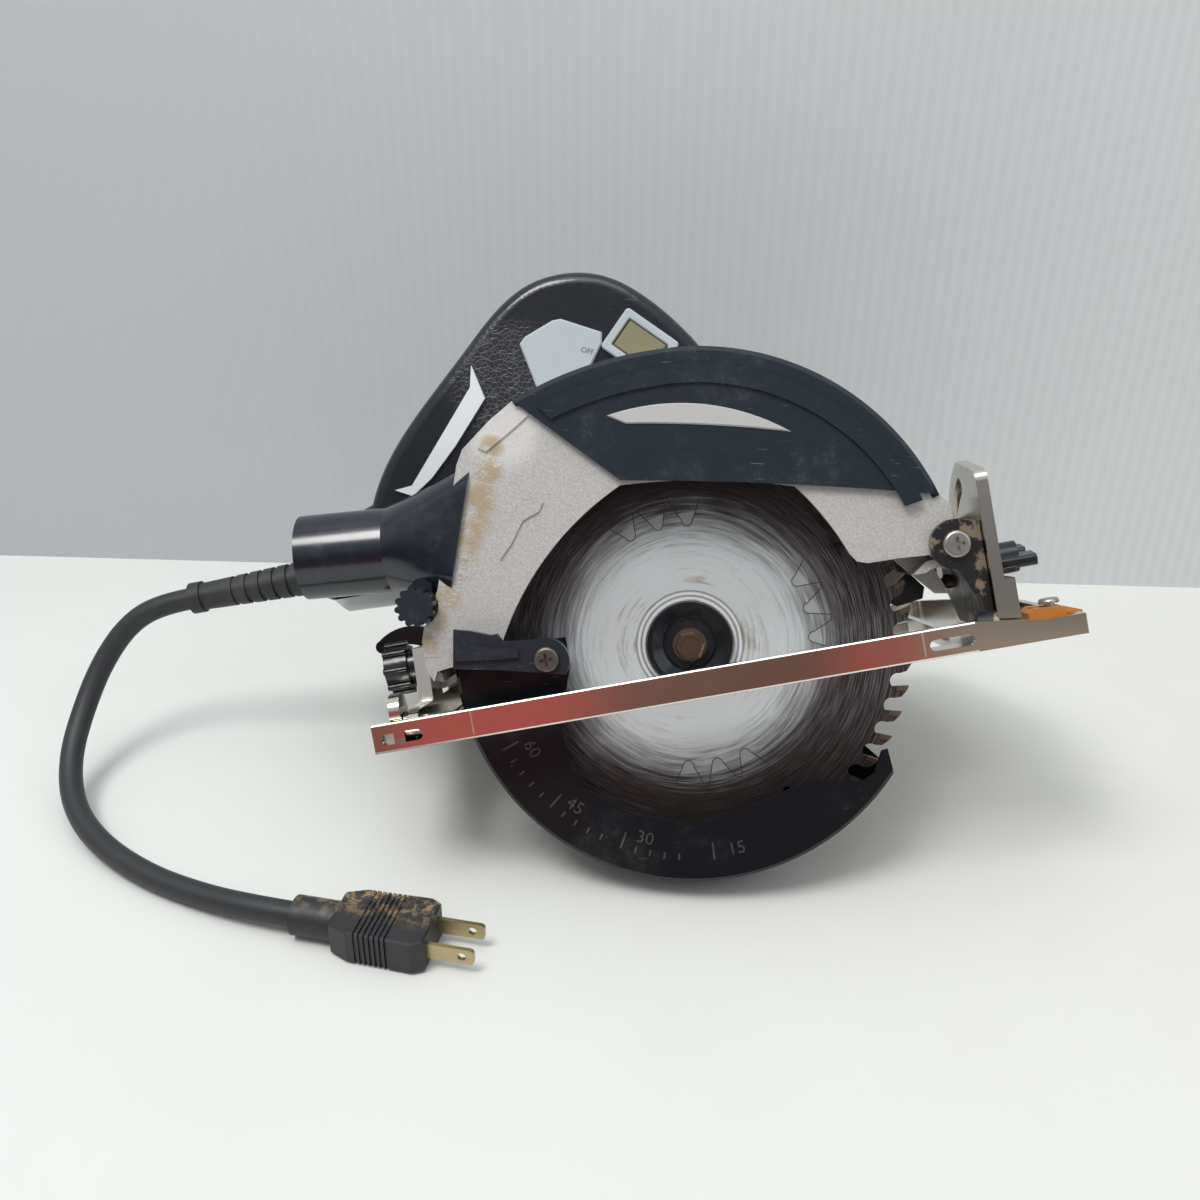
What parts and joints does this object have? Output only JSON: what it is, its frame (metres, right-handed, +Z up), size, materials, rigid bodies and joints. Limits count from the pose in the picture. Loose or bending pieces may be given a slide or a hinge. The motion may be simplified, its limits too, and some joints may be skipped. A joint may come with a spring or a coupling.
{
  "type": "circular saw",
  "caption": "Corded circular saw with sprung lower guard, tilting and swinging base, top handle, dust nozzle and motor to the left, lying on its guard and base.",
  "frame": {"origin": "centre of the saw's box on the surface it lies on, cord and plug left out", "axes": "+X to the saw's front as it lies, +Y away from the blade towards the motor, +Z up"},
  "size_m": [0.3958, 0.289, 0.2027],
  "materials": {
    "case_paint": "satin speckled light grey",
    "cover_black": "scuffed gloss",
    "guard_black": "scratched gloss",
    "inlay": "satin",
    "handle_black": "fine crackle",
    "white_plastic": "satin",
    "panel_silver": "satin",
    "lens_khaki": "translucent",
    "button_red": "satin",
    "gear_case": "as cast",
    "blade_steel": "brushed with burnt resin",
    "carbide": "ground",
    "nickel": "nickel plated, tarnished",
    "steel": "machined",
    "laminations": "varnished",
    "copper": "turned",
    "carbon": "matte",
    "fan_plastic": "matte",
    "orange_plastic": "satin",
    "rubber": "matte",
    "pin_brass": "dull"
  },
  "bodies": {
    "frame": {"blade_case": "case_paint", "case_cover": "cover_black", "cover_inlay": "inlay", "gear_housing": "gear_case", "ball_bearings": "steel", "motor_housing": "white_plastic", "motor_end_cover": "handle_black", "housing_screws": "steel", "stator": "laminations", "carbon_brushes": "carbon", "brush_holders": "handle_black", "handle_right": "handle_black", "handle_left": "handle_black", "tail_cover": "white_plastic", "handle_panel": "panel_silver", "handle_stripe": "white_plastic", "light_switch_bezel": "panel_silver", "work_lamp": "handle_black", "guard_retainer": "steel", "guard_spring": "steel", "dust_nozzle": "cover_black", "depth_bolt": "steel", "cord_guard": "rubber", "power_cord": "rubber", "plug_body": "rubber", "plug_pins": "pin_brass"},
    "blade_assembly": {"blade": "blade_steel", "blade_tips": "carbide", "inner_flange": "steel", "outer_flange": "steel", "blade_bolt": "steel", "spindle": "steel", "spindle_gear": "steel"},
    "countershaft": {"countershaft": "steel", "countershaft_wheel": "steel"},
    "armature": {"armature_shaft": "steel", "armature_core": "laminations", "commutator": "copper", "cooling_fan": "fan_plastic"},
    "guard": {"lower_guard": "guard_black", "guard_lever": "cover_black", "guard_lever_screw": "steel"},
    "depth_frame": {"front_bracket": "guard_black", "pivot_screw": "steel", "depth_guide": "nickel", "bevel_bolt": "steel"},
    "base": {"base_plate": "nickel", "bevel_quadrant": "nickel", "rear_bracket": "nickel", "top_guide_screw": "steel"},
    "guide": {"top_guide": "orange_plastic"},
    "bevel_knob": {"bevel_knob": "handle_black"},
    "rear_knob": {"rear_lock_knob": "handle_black"},
    "depth_lever": {"depth_lever": "handle_black"},
    "trigger": {"trigger": "handle_black"},
    "lock_off": {"lock_off_button": "button_red"},
    "light_switch": {"light_switch_rocker": "lens_khaki"},
    "shaft_lock": {"shaft_lock": "steel"},
    "nozzle_knob": {"nozzle_screw": "cover_black"}
  },
  "joints": [
    {"name": "blade_spin", "type": "hinge", "parent": "frame", "child": "blade_assembly", "pos_m": [0.03337, -0.07938, 0.08447], "axis": [0.0816, 0.9118, -0.4024], "continuous": true},
    {"name": "countershaft_spin", "type": "hinge", "parent": "frame", "child": "countershaft", "pos_m": [0.04206, -0.04536, 0.08878], "axis": [0.0816, 0.9118, -0.4024], "continuous": true},
    {"name": "armature_spin", "type": "hinge", "parent": "frame", "child": "armature", "pos_m": [0.02128, 0.02659, 0.07365], "axis": [0.0816, 0.9118, -0.4024], "continuous": true},
    {"name": "guard_swing", "type": "hinge", "parent": "frame", "child": "guard", "pos_m": [0.03337, -0.07938, 0.08447], "axis": [0.0816, 0.9118, -0.4024], "range_deg": [0, 110], "stiffness_Nm_per_rad": 0.12, "springref_deg": -85.94},
    {"name": "depth_pivot", "type": "hinge", "parent": "frame", "child": "depth_frame", "pos_m": [0.12519, -0.07092, 0.12227], "axis": [-0.0816, -0.9118, 0.4024], "range_deg": [0, 29]},
    {"name": "bevel_tilt", "type": "hinge", "parent": "depth_frame", "child": "base", "pos_m": [0.03296, -0.10587, 0.08649], "axis": [-0.98, 0, -0.1989], "range_deg": [0, 45]},
    {"name": "guide_slide", "type": "slide", "parent": "base", "child": "guide", "axis": [0.98, 0, 0.1989], "range_m": [-0.003, 0.004]},
    {"name": "bevel_knob_turn", "type": "hinge", "parent": "depth_frame", "child": "bevel_knob", "pos_m": [0.15136, -0.05202, 0.10644], "axis": [0.98, 0, 0.1989], "range_deg": [-120, 0]},
    {"name": "rear_knob_turn", "type": "hinge", "parent": "depth_frame", "child": "rear_knob", "pos_m": [-0.07508, -0.06474, 0.06581], "axis": [-0.98, 0, -0.1989], "range_deg": [-120, 0]},
    {"name": "depth_lever_turn", "type": "hinge", "parent": "frame", "child": "depth_lever", "pos_m": [-0.05971, -0.0135, 0.04091], "axis": [0.0816, 0.9118, -0.4024], "range_deg": [0, 60]},
    {"name": "trigger_press", "type": "slide", "parent": "frame", "child": "trigger", "axis": [-0.467, 0.3917, 0.7928], "range_m": [0, 0.0045], "stiffness_N_per_m": 600, "springref_m": -0.002},
    {"name": "lock_off_press", "type": "slide", "parent": "frame", "child": "lock_off", "axis": [-0.0816, -0.9118, 0.4024], "range_m": [0, 0.002], "stiffness_N_per_m": 500, "springref_m": -0.001},
    {"name": "light_switch_rock", "type": "hinge", "parent": "frame", "child": "light_switch", "pos_m": [0.01547, -0.00866, 0.17872], "axis": [-0.5705, -0.2883, -0.769], "range_deg": [-6, 6]},
    {"name": "shaft_lock_press", "type": "slide", "parent": "frame", "child": "shaft_lock", "axis": [-0.98, 0, -0.1989], "range_m": [0, 0.002], "stiffness_N_per_m": 500, "springref_m": -0.001},
    {"name": "nozzle_screw_turn", "type": "hinge", "parent": "frame", "child": "nozzle_knob", "pos_m": [-0.06657, -0.08427, 0.10281], "axis": [0.0816, 0.9118, -0.4024], "range_deg": [-180, 180]}
  ],
  "couplings": [
    {"joint": "countershaft_spin", "follows": "blade_spin", "ratio": -1.1429},
    {"joint": "armature_spin", "follows": "blade_spin", "ratio": 5.0794}
  ]
}
